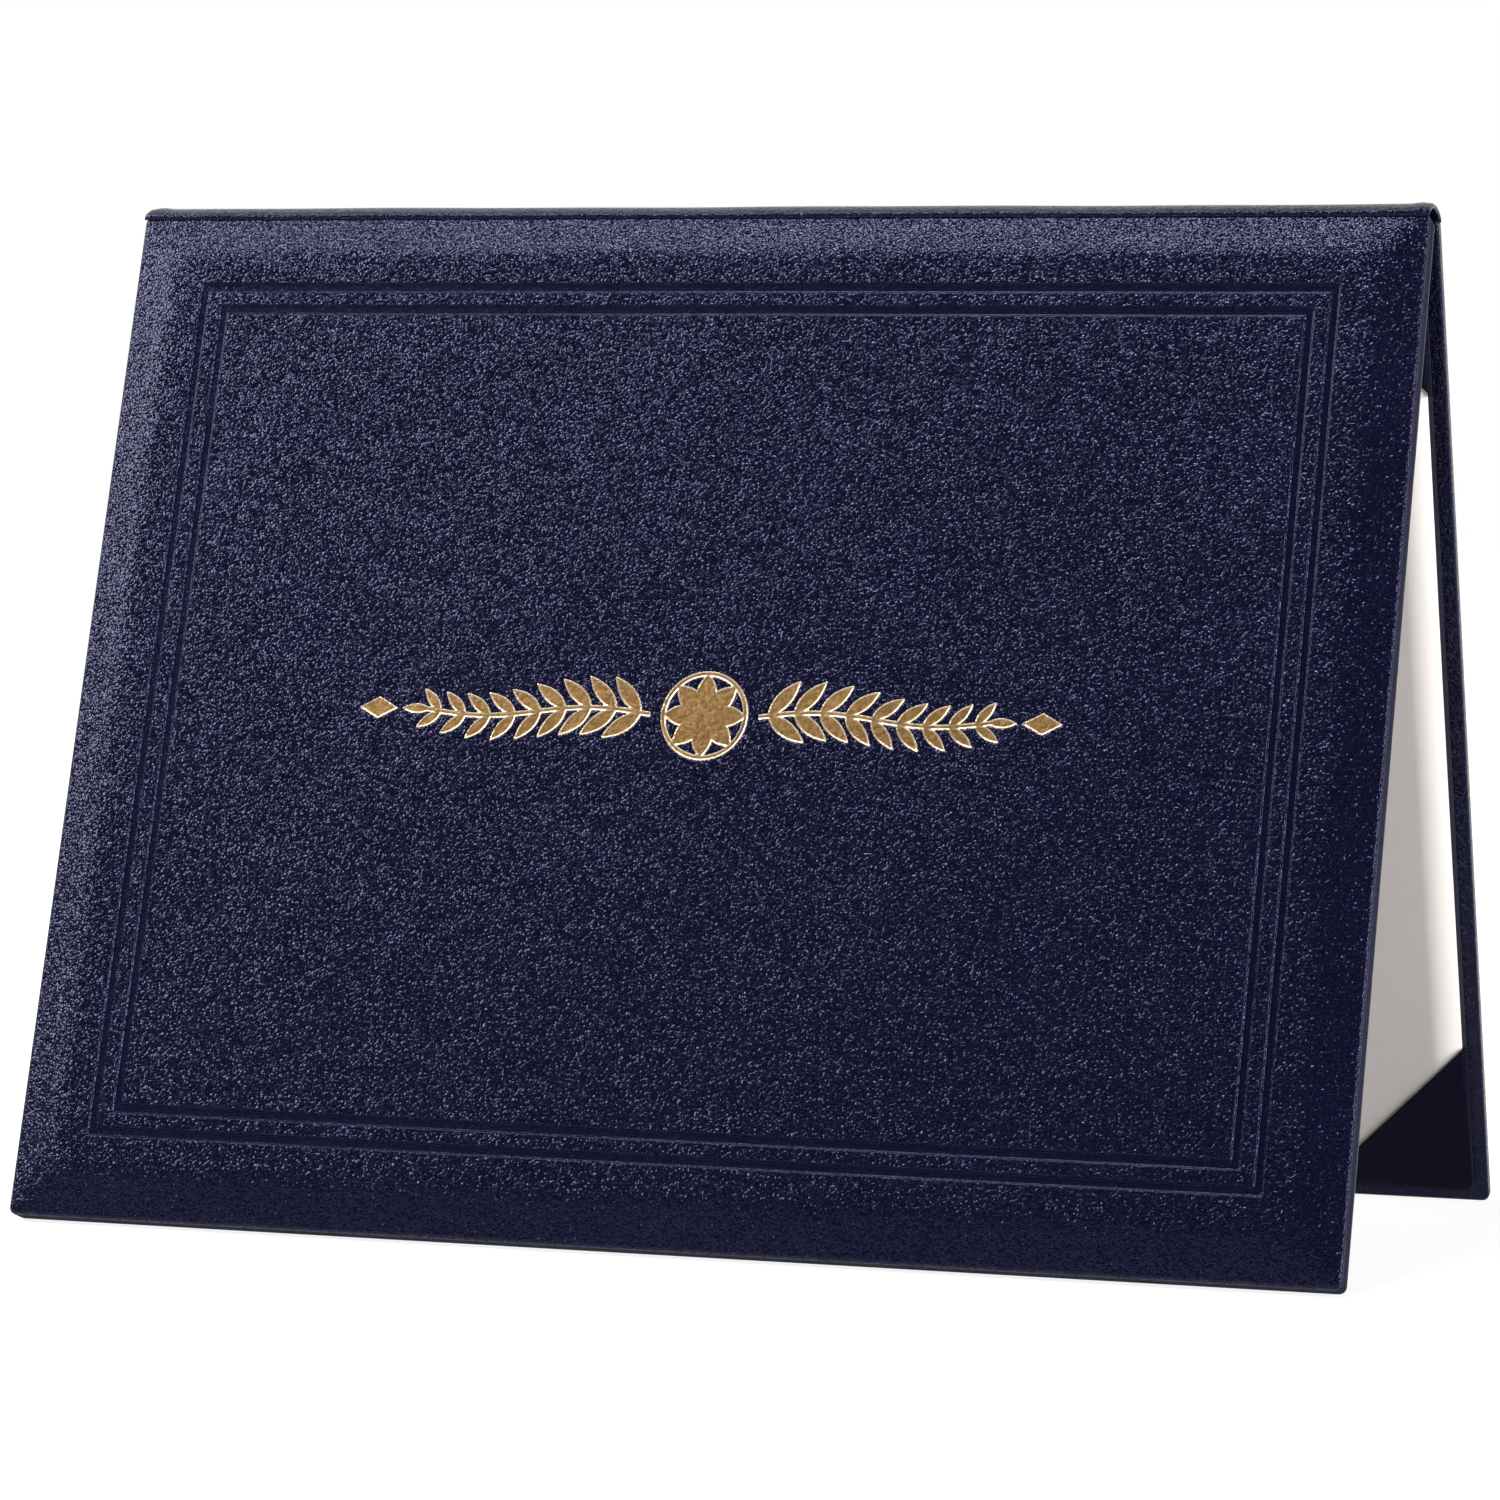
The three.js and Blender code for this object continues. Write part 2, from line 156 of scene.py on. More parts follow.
# A shader node group with number sockets: inputs with their first values, and outputs.
def newGroup(name, inputs, outputs):
    group = bpy.data.node_groups.new(name, "ShaderNodeTree")
    for key, value in inputs.items():
        socket = group.interface.new_socket(key, in_out="INPUT", socket_type="NodeSocketFloat")
        socket.default_value = value
    for key in outputs:
        group.interface.new_socket(key, in_out="OUTPUT", socket_type="NodeSocketFloat")
    return group, group.nodes.new("NodeGroupInput"), group.nodes.new("NodeGroupOutput")


# An operation on one or two values or sockets.
def math2(tree, operation, first, second=0.0):
    return addNode(tree, "ShaderNodeMath", {0: first, 1: second}, operation=operation).outputs[0]


# An operation on vectors, with its inputs by number or name.
def vectorMath(tree, operation, inputs):
    return addNode(tree, "ShaderNodeVectorMath", inputs, operation=operation).outputs


# A value carried evenly from one span to another.
def mapRange(tree, value, source=(0.0, 1.0), target=(0.0, 1.0), **settings):
    return addNode(tree, "ShaderNodeMapRange", {
        "Value": value, "From Min": source[0], "From Max": source[1],
        "To Min": target[0], "To Max": target[1]}, **settings).outputs[0]


# A colour between two, by a share from 0 to 1.
def mixColour(tree, share, first, second):
    return addNode(tree, "ShaderNodeMix", {0: share, 6: first, 7: second}, data_type="RGBA").outputs[2]


# Colour, roughness and bump go to the shader. The depth is what a height of 1 stands for, in metres.
def dress(tree, shader, colour, rough, height, strength, depth):
    tree.links.new(colour, shader.inputs["Base Color"])
    tree.links.new(rough, shader.inputs["Roughness"])
    bump = addNode(tree, "ShaderNodeBump", {"Height": height, "Strength": strength, "Distance": depth})
    tree.links.new(bump.outputs["Normal"], shader.inputs["Normal"])


# Grain: how far noise bends the cells, how far a cell falls off, and the slow mottling
pebbles = {"wobbleScale": 1400.0, "wobble": 0.0003, "dome": 0.8, "mottleScale": 45.0, "mottleDetail": 4.0}


# Pebbled grain: each cell is a dome that falls off with the square of the distance from its middle.
# Each cell also leans its own way, a ramp from its middle, so that single pebbles catch the light.
def grainGroup():
    look = pebbles
    centred = (-0.5, -0.5, -0.5)
    group, given, result = newGroup(
        "pebbledGrain", {"Pitch": 0.00075, "Lean": 1.5}, ["Height", "Pebble", "Mottle"])
    place = addNode(group, "ShaderNodeTexCoord").outputs["Object"]
    density = math2(group, "DIVIDE", 1.0, given.outputs["Pitch"])
    wobble = addNode(group, "ShaderNodeTexNoise", {
        "Vector": place, "Scale": look["wobbleScale"], "Detail": 0.0})
    bent = vectorMath(group, "ADD", {0: wobble.outputs["Color"], 1: centred})[0]
    small = vectorMath(group, "SCALE", {0: bent, "Scale": look["wobble"]})[0]
    moved = vectorMath(group, "ADD", {0: place, 1: small})[0]
    cells = addNode(group, "ShaderNodeTexVoronoi", {"Vector": moved, "Scale": density})
    sunk = math2(group, "MULTIPLY", cells.outputs["Distance"], cells.outputs["Distance"])
    aside = vectorMath(group, "SUBTRACT", {0: moved, 1: cells.outputs["Position"]})[0]
    lean = vectorMath(group, "ADD", {0: cells.outputs["Color"], 1: centred})[0]
    ramp = vectorMath(group, "DOT_PRODUCT", {0: aside, 1: lean})["Value"]
    tilted = math2(group, "MULTIPLY", math2(group, "MULTIPLY", ramp, density), given.outputs["Lean"])
    dome = math2(group, "SUBTRACT", 1.0, math2(group, "MULTIPLY", sunk, look["dome"]))
    group.links.new(math2(group, "ADD", dome, tilted), result.inputs["Height"])
    single = addNode(group, "ShaderNodeSeparateColor", {0: cells.outputs["Color"]}).outputs[0]
    group.links.new(single, result.inputs["Pebble"])
    mottle = addNode(group, "ShaderNodeTexNoise", {
        "Vector": place, "Scale": look["mottleScale"], "Detail": look["mottleDetail"]})
    group.links.new(mottle.outputs["Fac"], result.inputs["Mottle"])
    return group


grain = grainGroup()


# The mean of two values.
def meanOf(tree, first, second):
    return math2(tree, "ADD", math2(tree, "MULTIPLY", first, 0.5), math2(tree, "MULTIPLY", second, 0.5))


# Leatherette: navy coating over the grain. Where the die has pressed it, the grain is flatter and the tone
# its own, and where it is turned round an edge it is duller.
def leatherMaterial(name, look):
    material, tree, shader = newMaterial(name)
    leather = addNode(tree, "ShaderNodeGroup", {"Pitch": look["pitch"], "Lean": look["lean"]},
                      node_tree=grain).outputs
    pressed = addNode(tree, "ShaderNodeAttribute", attribute_name="pressed").outputs["Fac"]
    rough = mapRange(tree, leather["Pebble"], target=look["rough"])
    tone = mapRange(tree, meanOf(tree, leather["Mottle"], leather["Pebble"]), source=look["toneSpan"])
    colour = mixColour(tree, tone, look["dark"], look["light"])
    pressedColour = mixColour(tree, pressed, colour, look["pressedColour"])
    turned = addNode(tree, "ShaderNodeAttribute", attribute_name="turned").outputs["Fac"]
    dulled = addNode(tree, "ShaderNodeMix", {0: turned, 2: rough, 3: look["turnedRough"]}).outputs[0]
    kept = math2(tree, "SUBTRACT", 1.0, math2(tree, "MULTIPLY", pressed, look["flattening"]))
    height = math2(tree, "MULTIPLY", leather["Height"], kept)
    dress(tree, shader, pressedColour, dulled, height, look["bumpStrength"], look["bumpDepth"])
    shader.inputs["Specular IOR Level"].default_value = look["specular"]
    shader.inputs["Specular Tint"].default_value = look["sheen"]
    return material


coverLook = {
    "pitch": 0.0005,
    "lean": 1.6,
    "dark": (0.0018, 0.0018, 0.0095, 1),
    "light": (0.0030, 0.0030, 0.0145, 1),
    "pressedColour": (0.0030, 0.0030, 0.0150, 1),
    "sheen": (0.5, 0.52, 1.0, 1),
    "toneSpan": (0.15, 0.85),
    "rough": (0.165, 0.235),
    "turnedRough": 0.9,
    "flattening": 0.65,
    "bumpStrength": 1.0,
    "bumpDepth": 0.000115,
    "specular": 0.25,
}
# The pockets' leatherette is the cover's with darker colours and a weaker, rougher gloss: painted shade for
# the deep shade that they lie in inside the tent.
pocketShadedLook = {
    **coverLook,
    "dark": (0.0012, 0.0012, 0.0045, 1),
    "light": (0.002, 0.002, 0.007, 1),
    "rough": (0.42, 0.6),
    "bumpDepth": 0.00006,
    "specular": 0.12,
}
coverLeather = leatherMaterial("coverLeather", coverLook)
pocketShadedLeather = leatherMaterial("pocketShadedLeather", pocketShadedLook)

# Lining paper
liningLook = {
    "stretch": (1.0, 0.25, 0.25),
    "fibreScale": 2200.0,
    "fibreDetail": 3.0,
    "dark": (0.006, 0.006, 0.018, 1),
    "light": (0.012, 0.012, 0.034, 1),
    "rough": (0.55, 0.8),
    "bumpStrength": 0.5,
    "tooth": 0.00004,
}


# Matt navy whose tone, roughness and tooth follow fine noise that is stretched in one direction.
def liningMaterial(look):
    material, tree, shader = newMaterial("liningPaper")
    place = addNode(tree, "ShaderNodeTexCoord").outputs["Object"]
    stretched = addNode(tree, "ShaderNodeMapping", {"Vector": place, "Scale": look["stretch"]})
    fibre = addNode(tree, "ShaderNodeTexNoise", {
        "Vector": stretched.outputs[0], "Scale": look["fibreScale"],
        "Detail": look["fibreDetail"]}).outputs["Fac"]
    tone = mixColour(tree, fibre, look["dark"], look["light"])
    rough = mapRange(tree, fibre, target=look["rough"])
    dress(tree, shader, tone, rough, fibre, look["bumpStrength"], look["tooth"])
    return material


# Paper and board
paperLook = {
    "fibreScale": 1500.0,
    "fibreDetail": 5.0,
    "cloudScale": 60.0,
    "cloudDetail": 2.0,
    "dark": (0.75, 0.70, 0.67, 1),
    "light": (0.86, 0.81, 0.78, 1),
    "rough": (0.7, 0.9),
    "bumpStrength": 0.4,
    "tooth": 0.00003,
}
boardLook = {
    **paperLook,
    "fibreScale": 900.0,
    "cloudScale": 120.0,
    "dark": (0.2, 0.185, 0.16, 1),
    "light": (0.34, 0.31, 0.27, 1),
    "rough": (0.8, 1.0),
    "tooth": 0.00008,
}


# The tone follows the mean of fine fibre noise and wide clouds. Roughness and tooth follow the fibres.
def fibreMaterial(name, look):
    material, tree, shader = newMaterial(name)
    place = addNode(tree, "ShaderNodeTexCoord").outputs["Object"]
    fibre, cloud = (
        addNode(tree, "ShaderNodeTexNoise", {
            "Vector": place, "Scale": look[kind + "Scale"], "Detail": look[kind + "Detail"]}).outputs["Fac"]
        for kind in ("fibre", "cloud"))
    tone = mixColour(tree, meanOf(tree, fibre, cloud), look["dark"], look["light"])
    rough = mapRange(tree, fibre, target=look["rough"])
    dress(tree, shader, tone, rough, fibre, look["bumpStrength"], look["tooth"])
    return material


# Gold foil
foilLook = {
    "pitch": 0.00075,
    "lean": 0.6,
    "wornSpan": (0.2, 1.0),
    "dark": (0.28, 0.155, 0.055, 1),
    "light": (0.41, 0.255, 0.11, 1),
    "rimHighlightColour": (0.74, 0.62, 0.45, 1),
    "rough": (0.3, 0.5),
    "bumpStrength": 0.5,
    "bumpDepth": 0.00006,
}


# Metal with the leather's grain showing faintly through it and a few duller patches. Its rim is painted
# paler, a painted highlight for the light that catches its stamped edge.
def foilMaterial(look):
    material, tree, shader = newMaterial("goldFoil")
    leather = addNode(tree, "ShaderNodeGroup", {"Pitch": look["pitch"], "Lean": look["lean"]},
                      node_tree=grain).outputs
    worn = mapRange(tree, leather["Pebble"], source=look["wornSpan"])
    tone = mixColour(tree, worn, look["dark"], look["light"])
    # The rim attribute marks the band that gets the painted highlight colour.
    rim = addNode(tree, "ShaderNodeAttribute", attribute_name="rim").outputs["Fac"]
    rimHighlighted = mixColour(tree, rim, tone, look["rimHighlightColour"])
    rough = mapRange(tree, leather["Mottle"], target=look["rough"])
    dress(tree, shader, rimHighlighted, rough, leather["Height"], look["bumpStrength"], look["bumpDepth"])
    shader.inputs["Metallic"].default_value = 1.0
    return material


liningPaper = liningMaterial(liningLook)
goldFoil = foilMaterial(foilLook)
certificatePaper = fibreMaterial("certificatePaper", paperLook)
greyBoard = fibreMaterial("greyBoard", boardLook)
print("materials ready")

# Ornament: a rosette between two laurel branches that end in lozenges
ornament = {
    "riseAboveMiddle": 0.5,
    "rosetteRadius": 9.6,
    "ring": 0.9,
    "petals": 8,
    "petalWidth": 4.4,
    "petalStart": 1.05,
    "eye": 2.1,
    "branchStart": 12.2,
    "branchLength": 51.0,
    "branchWave": 1.2,
    "stem": 0.9,
    "leafPairs": 9,
    "firstPair": 0.35,
    "leafLength": 10.2,
    "leafGap": 0.5,
    "leafAngle": math.radians(42),
    "leafTaper": 0.4,
    "belly": 0.42,
    "lozengeLength": 8.4,
    "lozengeWidth": 4.6,
    "lozengeGap": 1.4,
}


# Distance outside a leaf, negative inside. Its half width at a place along it comes from the two
# curves that bulge to the sides at the belly.
def leafDistance(x, y, baseX, baseY, length, width, angle):
    cosine, sine = math.cos(angle), math.sin(angle)
    along = (x - baseX) * cosine + (y - baseY) * sine
    aside = np.abs(-(x - baseX) * sine + (y - baseY) * cosine)
    share = np.clip(along / length, 0, 1)
    belly = ornament["belly"]
    bend = 1 - 2 * belly
    step = (-belly + np.sqrt(belly * belly + bend * share)) / bend
    half = 2 * step * (1 - step) * width
    slope = width * (2 - 4 * step) / (length * (2 * belly + 2 * bend * step))
    past = np.maximum(-along, along - length)
    beyond = np.hypot(np.maximum(past, 0), aside)
    return np.where(past > 0, beyond, (aside - half) / np.sqrt(1 + slope * slope))


# The stem's wave, one full sine over the branch's length.
def stemRise(share):
    return ornament["branchWave"] * np.sin(share * 2 * math.pi)


# A branch to the right: the least distance to its waved stem and to each of its leaves.
def branchDistance(x, y):
    o = ornament
    share = (x - o["branchStart"]) / o["branchLength"]
    slope = o["branchWave"] * 2 * math.pi * np.cos(share * 2 * math.pi) / o["branchLength"]
    reach = np.maximum(o["branchStart"] - x, x - o["branchStart"] - o["branchLength"])
    body = (np.abs(y - stemRise(share)) - o["stem"] / 2) / np.sqrt(1 + slope * slope)
    least = np.maximum(body, reach)
    width = o["branchLength"] / o["leafPairs"] * math.sin(o["leafAngle"]) - o["leafGap"]
    for pair in range(o["leafPairs"]):
        at = (pair + o["firstPair"]) / o["leafPairs"]
        size = 1 - o["leafTaper"] * at
        turn = math.atan(o["branchWave"] * 2 * math.pi * math.cos(at * 2 * math.pi) / o["branchLength"])
        base = (o["branchStart"] + o["branchLength"] * at, float(stemRise(at)))
        for up in (-1, 1):
            angle = turn + o["leafAngle"] * up
            leaf = leafDistance(x, y, *base, o["leafLength"] * size, width * size, angle)
            least = np.minimum(least, leaf)
    size = 1 - o["leafTaper"]
    tip = leafDistance(x, y, o["branchStart"] + o["branchLength"] - o["stem"], 0.0, o["leafLength"] * size,
                       width * size, 0.0)
    return np.minimum(least, tip)


# A lozenge past the branch's tip: the sum of both shares of its half sizes is 1 on its outline.
def lozengeDistance(x, y):
    o = ornament
    stemEnd = o["branchStart"] + o["branchLength"] - o["stem"]
    start = stemEnd + o["leafLength"] * (1 - o["leafTaper"]) + o["lozengeGap"]
    halfLength, halfWidth = o["lozengeLength"] / 2, o["lozengeWidth"] / 2
    spread = np.abs(x - start - halfLength) / halfLength + np.abs(y) / halfWidth - 1
    return spread * halfLength * halfWidth / math.hypot(halfLength, halfWidth)


# The least distance to the ring, to the eye and to each petal, which is a leaf that points outward.
def rosetteDistance(x, y):
    o = ornament
    radius = np.hypot(x, y)
    least = np.abs(radius - o["rosetteRadius"] + o["ring"] / 2) - o["ring"] / 2
    least = np.minimum(least, radius - o["eye"])
    length = o["rosetteRadius"] - o["ring"] / 2 - o["petalStart"]
    for petal in range(o["petals"]):
        angle = petal / o["petals"] * 2 * math.pi
        base = (o["petalStart"] * math.cos(angle), o["petalStart"] * math.sin(angle))
        least = np.minimum(least, leafDistance(x, y, *base, length, o["petalWidth"], angle))
    return least


# The whole ornament, the same on both sides of the middle.
def ornamentDistance(x, y):
    branch = np.minimum(branchDistance(np.abs(x), y), lozengeDistance(np.abs(x), y))
    return np.minimum(branch, rosetteDistance(x, y))


# Front: leatherette over padding, with the pressed frame and the stamped ornament. Inset counts from the
# cover's edge, height from its inner face.
padded = {
    "innerRound": 0.6,
    "edgeRound": 1.1,
    "topRound": 0.4,
    "wallTop": 4.9,
    "plateau": 8.15,
    "slopeEnd": 11.5,
    "slopeHeld": 6.5,
    "grooves": (17.0, 22.1),
    "grooveWidth": 2.2,
    "grooveDepth": 0.5,
    "grooveWall": 0.35,
    "grooveEase": 0.1,
    "skin": 0.5,
    "cavity": (0.65, 2.6),
    "turnIn": 14.0,
    "turnInRows": (9.0, 5.0, 2.5, 1.2),
    "wallShares": (0.2, 0.4, 0.6, 0.8),
    "edgeCorner": 1.6,
    "turnInCorner": 0.6,
    "faceCorners": ((0.5, 4, 9, 12, 15.5, 16.5, 27), (1.6, 3.5, 7, 7, 0.6, 0.25, 0.25)),
    "topLift": 0.5,
    "foldHeight": 0.16,
    "foldWidth": 0.9,
    "parts": (34, 26),
    "patchRings": 11,
    "ringSpread": (1.03, 1.2),
    "stampDepth": 0.22,
    "stampWall": 0.3,
    "patchHalf": (80.0, 11.6),
    "patchCell": 0.25,
    "unevenness": 0.07,
}
nearCorner = np.array([0, 0.25, 0.5, 0.8, 1.2, 1.7, 2.4, 3.3, 4.6, 6.4, 9.0, 13.0, 19.0, 26.0])
cavityCount = 4
turnInCount = cavityCount + len(padded["turnInRows"])


# Rounded rectangles, one for each station: a point that is nearer to a corner than the radius moves
# onto the corner's arc. Gives across, down and the distance to the nearest corner.
def rectangleLoops(inset, topInset, radius, shift, longParts, shortParts):
    left, right = -tent["width"] / 2 + inset, tent["width"] / 2 - inset
    top, bottom = topInset - shift, tent["height"] - inset - shift
    corners = [(left, top), (right, top), (right, bottom), (left, bottom)]
    across, down, away = [], [], []
    for side in range(4):
        startX, startY = corners[side]
        endX, endY = corners[(side + 1) % 4]
        length = np.abs(endX - startX) + np.abs(endY - startY)
        parts = longParts if side % 2 == 0 else shortParts
        middle = np.linspace(0, 1, parts + 1)[1:-1]
        far = nearCorner[-1]
        near = np.broadcast_to(nearCorner, (len(inset), len(nearCorner)))
        between = far + (length[:, None] - 2 * far) * middle
        along = np.concatenate([near, between, (length[:, None] - near)[:, :0:-1]], 1)
        unitX = np.sign(endX - startX)[:, None]
        unitY = np.sign(endY - startY)[:, None]
        inX, inY = -unitY, unitX
        rest = length[:, None] - along
        corner = np.minimum(along, rest)
        r = radius[:, None]
        arc = corner < r
        turn = np.where(arc, (1 - corner / r) * math.pi / 4, 0)
        forward = np.where(arc, r - r * np.sin(turn), corner)
        inward = np.where(arc, r - r * np.cos(turn), 0)
        forward = np.where(along <= rest, forward, length[:, None] - forward)
        across.append(startX[:, None] + unitX * forward + inX * inward)
        down.append(startY[:, None] + unitY * forward + inY * inward)
        away.append(corner)
    return np.concatenate(across, 1), np.concatenate(down, 1), np.concatenate(away, 1)


# The padding's slope: even from the edge, then easing off to the level middle.
def slopeRise(inset):
    fine = np.linspace(0, padded["slopeEnd"], 400)
    steep = 1 - ease(fine, padded["slopeHeld"], padded["slopeEnd"])
    total = np.concatenate([[0], np.cumsum((steep[1:] + steep[:-1]) / 2) * (fine[1] - fine[0])])
    return np.interp(inset, fine, total / total[-1])


# A pressed channel: a flat floor between two walls, rounded where they meet the face.
def grooveFall(inset):
    wall, soft = padded["grooveWall"], padded["grooveEase"]
    fall = np.zeros_like(inset)
    for start in padded["grooves"]:
        rise = ease(inset, start - soft, start + wall + soft)
        end = start + padded["grooveWidth"]
        rise = rise * (1 - ease(inset, end - wall - soft, end + soft))
        fall = np.maximum(fall, rise)
    return fall


# Low waves that the padding leaves in the face: a sum of sines whose lengths share no measure, so that
# nothing repeats.
def faceWaves(across, down):
    waves = (np.sin(across / 23 + 1.1) * np.sin(down / 31 + 0.4) + 0.6 * np.sin(across / 11 + down / 17)
             + 0.5 * np.sin(across / 37 - down / 13 + 2.0))
    return padded["unevenness"] * waves


# Points round a quarter arc, by their angles: how far in from its start, and how far up.
def arcStations(radius, angles):
    turn = np.radians(angles)
    return radius * (1 - np.cos(turn)), radius * np.sin(turn)


# The turn-in's corners are folded over each other: a short ridge runs in along the diagonal, a bell curve
# across it, and fades out at the edge.
def mitreFold(inset, away):
    onTurnIn = np.zeros(len(inset))
    onTurnIn[turnInCount - 5:turnInCount + 1] = (1.0, 1.0, 1.0, 1.0, 0.8, 0.3)
    return -padded["foldHeight"] * onTurnIn[:, None] * np.exp(-(away / padded["foldWidth"]) ** 2)


# How deep the die has pushed the face in: the full depth inside the ornament, rising over its wall.
def stampFall(x, y):
    distance = ornamentDistance(x, y)
    return padded["stampDepth"] * (1 - ease(distance, -padded["stampWall"] / 2, padded["stampWall"] / 2))


# Loops of points run round the cover, from the cavity that holds board and padding, over the turn-in and
# the edge to the frame. More loops draw in to the patch, a fine grid that the ornament is stamped into.
def makeFront():
    p = padded
    steepest = (p["plateau"] - p["wallTop"]) / (p["slopeHeld"] + p["slopeEnd"]) * 2
    slopeAngle = math.degrees(math.atan(steepest)) - 1
    # Stations from the closed cavity over the turn-in, the edge and the face, close together in the grooves
    inset = [p["cavity"][0], p["cavity"][0], p["turnIn"], p["turnIn"]]
    height = [p["cavity"][1], p["skin"], p["skin"], 0.0]
    inset += p["turnInRows"]
    height += [0.0] * len(p["turnInRows"])
    reach, rise = arcStations(p["innerRound"], np.linspace(90, 0, 7))
    inset += list(reach)
    height += list(p["innerRound"] - rise)
    inset += [0.0] * len(p["wallShares"])
    height += [p["innerRound"] + (p["wallTop"] - p["innerRound"]) * share for share in p["wallShares"]]
    reach, rise = arcStations(p["edgeRound"], np.linspace(0, 90 - slopeAngle, 8))
    inset += list(reach)
    height += list(p["wallTop"] + rise)
    edgeInset, edgeHeight = inset[-1], height[-1]
    slope = np.concatenate([np.arange(0.8, 12.4, 0.4), [13.0, 14.5, 16.0]])
    inner = np.concatenate([
        np.arange(start - 0.2, start + p["grooveWidth"] + 0.25, 0.1) for start in p["grooves"]])
    face = np.concatenate([slope, inner, [25.2, 26.5]])
    face = face[np.argsort(face)]
    inset += list(face)
    base = edgeHeight + (p["plateau"] - edgeHeight) * slopeRise(face - edgeInset)
    height += list(base - p["grooveDepth"] * grooveFall(face))
    inset, height = np.array(inset), np.array(height)
    outerCount = len(inset) - len(face)
    topInset = inset.copy()
    topInset[:turnInCount] = np.minimum(inset[:turnInCount], p["cavity"][0])
    # The spine takes up part of the top edge's rounding
    topInset[outerCount - len(reach):outerCount] *= p["topRound"]
    radius = np.full(len(inset), p["edgeCorner"])
    radius[:turnInCount] = p["turnInCorner"]
    radius[outerCount:] = np.interp(face, *p["faceCorners"])
    shift = np.zeros(len(inset))
    shift[outerCount:] = p["topLift"] * ease(face, 0.5, 16)
    across, down, away = rectangleLoops(inset, topInset, radius, shift, *p["parts"])
    out = np.repeat(height[:, None], across.shape[1], 1)
    faceLoops = np.repeat(ease(inset, 2.0, 12.0)[:, None], across.shape[1], 1)
    faceLoops[:outerCount] = 0
    out = out + mitreFold(inset, away)
    out = out + faceLoops * faceWaves(across, down)
    # Loops that draw in from the frame to the stamped patch
    halfX, halfY = p["patchHalf"]
    centreY = tent["height"] / 2 - ornament["riseAboveMiddle"]
    lastAcross, lastDown = across[-1], down[-1] - centreY
    boxX, boxY = np.abs(lastAcross).max(), np.abs(lastDown).max()
    targetAcross = lastAcross * halfX / boxX
    targetDown = lastDown * halfY / boxY
    shares = np.linspace(0, 1, p["patchRings"] + 2)[1:-1, None]
    spreadX, spreadY = p["ringSpread"]
    ringAcross = lastAcross * (1 - shares) + targetAcross * spreadX * shares
    ringDown = lastDown * (1 - shares) + targetDown * spreadY * shares
    across = np.concatenate([across, ringAcross])
    down = np.concatenate([down, ringDown + centreY])
    ringOut = p["plateau"] + faceWaves(ringAcross, ringDown + centreY)
    out = np.concatenate([out, ringOut])
    rows, columns = across.shape
    # The patch, a fine grid with the ornament sunk into it
    columnsX = np.linspace(-halfX, halfX, int(2 * halfX / p["patchCell"]) + 1)
    rowsY = np.linspace(-halfY, halfY, int(2 * halfY / p["patchCell"]) + 1)
    gridX, gridY = np.meshgrid(columnsX, rowsY)
    patchOut = p["plateau"] + faceWaves(gridX, gridY + centreY) - stampFall(gridX, -gridY)
    start = rows * columns
    points = np.concatenate([
        onCover(-1, across, down, out),
        onCover(-1, gridX, gridY + centreY, patchOut),
    ])
    faces = [
        gridFaces(rows, columns, wrap=True)[:, ::-1],
        gridFaces(len(rowsY), len(columnsX), start=start)[:, ::-1],
        np.arange(columns)[None, :],
    ]
    # The last ring is zipped to the patch, side by side
    ring = (rows - 1) * columns + np.arange(columns)
    ringX, ringY = across[-1], down[-1] - centreY
    number = start + np.arange(gridX.size).reshape(gridX.shape)
    edges = [number[0], number[:, -1], number[-1][::-1], number[:, 0][::-1]]
    signs = ((1, 1), (-1, 1), (-1, -1), (1, -1))
    cornersAt = [int(np.argmin(ringX * signX + ringY * signY)) for signX, signY in signs]
    for side in range(4):
        first, last = cornersAt[side], cornersAt[(side + 1) % 4]
        count = (last - first) % columns
        picked = (first + np.arange(count + 1)) % columns
        travel = ringX[picked] if side % 2 == 0 else ringY[picked]
        share = (travel - travel[0]) / (travel[-1] - travel[0])
        edge = edges[side]
        faces.append(zipFaces(edge, np.linspace(0, 1, len(edge)), ring[picked], share))
    # Where the die has pressed the face, and where the leatherette is turned round the wall
    onFace = np.where(np.arange(len(inset)) < outerCount, 0, inset)
    pressed = np.concatenate([
        np.repeat(grooveFall(onFace), columns), np.zeros(p["patchRings"] * columns),
        ease(-ornamentDistance(gridX, -gridY), -0.5, 0.0).ravel()])
    wall = ease(height, p["innerRound"], p["innerRound"] + 0.5)
    wall = wall * (1 - ease(height, p["wallTop"], p["wallTop"] + 0.3))
    wall[:cavityCount] = 0
    turned = np.concatenate([np.repeat(wall, columns), np.zeros(len(points) - len(wall) * columns)])
    attributes = {"pressed": pressed, "turned": turned}
    return makePiece("front_leatherette", points, faces, coverLeather, attributes)


# Gives a piece its body and hides the nodes it replaces. A blended piece has no body of its own.
def finishPiece(piece, body, slotName, *replaced):
    if body:
        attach(piece, body)
    if replaced:
        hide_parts(*replaced)
    print("made", piece.name, len(piece.data.polygons), "faces")


front = makeFront()
finishPiece(front, "front_cover", "leatherette", "cover_front", "front_pad")

# Foil, with the span across and the half height of each figure's grid
foil = {
    "cell": 0.2,
    "spill": 0.08,
    "lift": 0.045,
    "thickness": 0.1,
    "rim": 0.3,
    "snap": 0.6,
    "leastSteepness": 0.25,
    "branchSpan": (11.5, ornament["branchStart"] + ornament["branchLength"] + 7),
    "branchHalf": 10,
    "lozengeSpan": (68.5, 79.5),
    "lozengeHalf": 4,
    "rosetteHalf": 10.5,
}


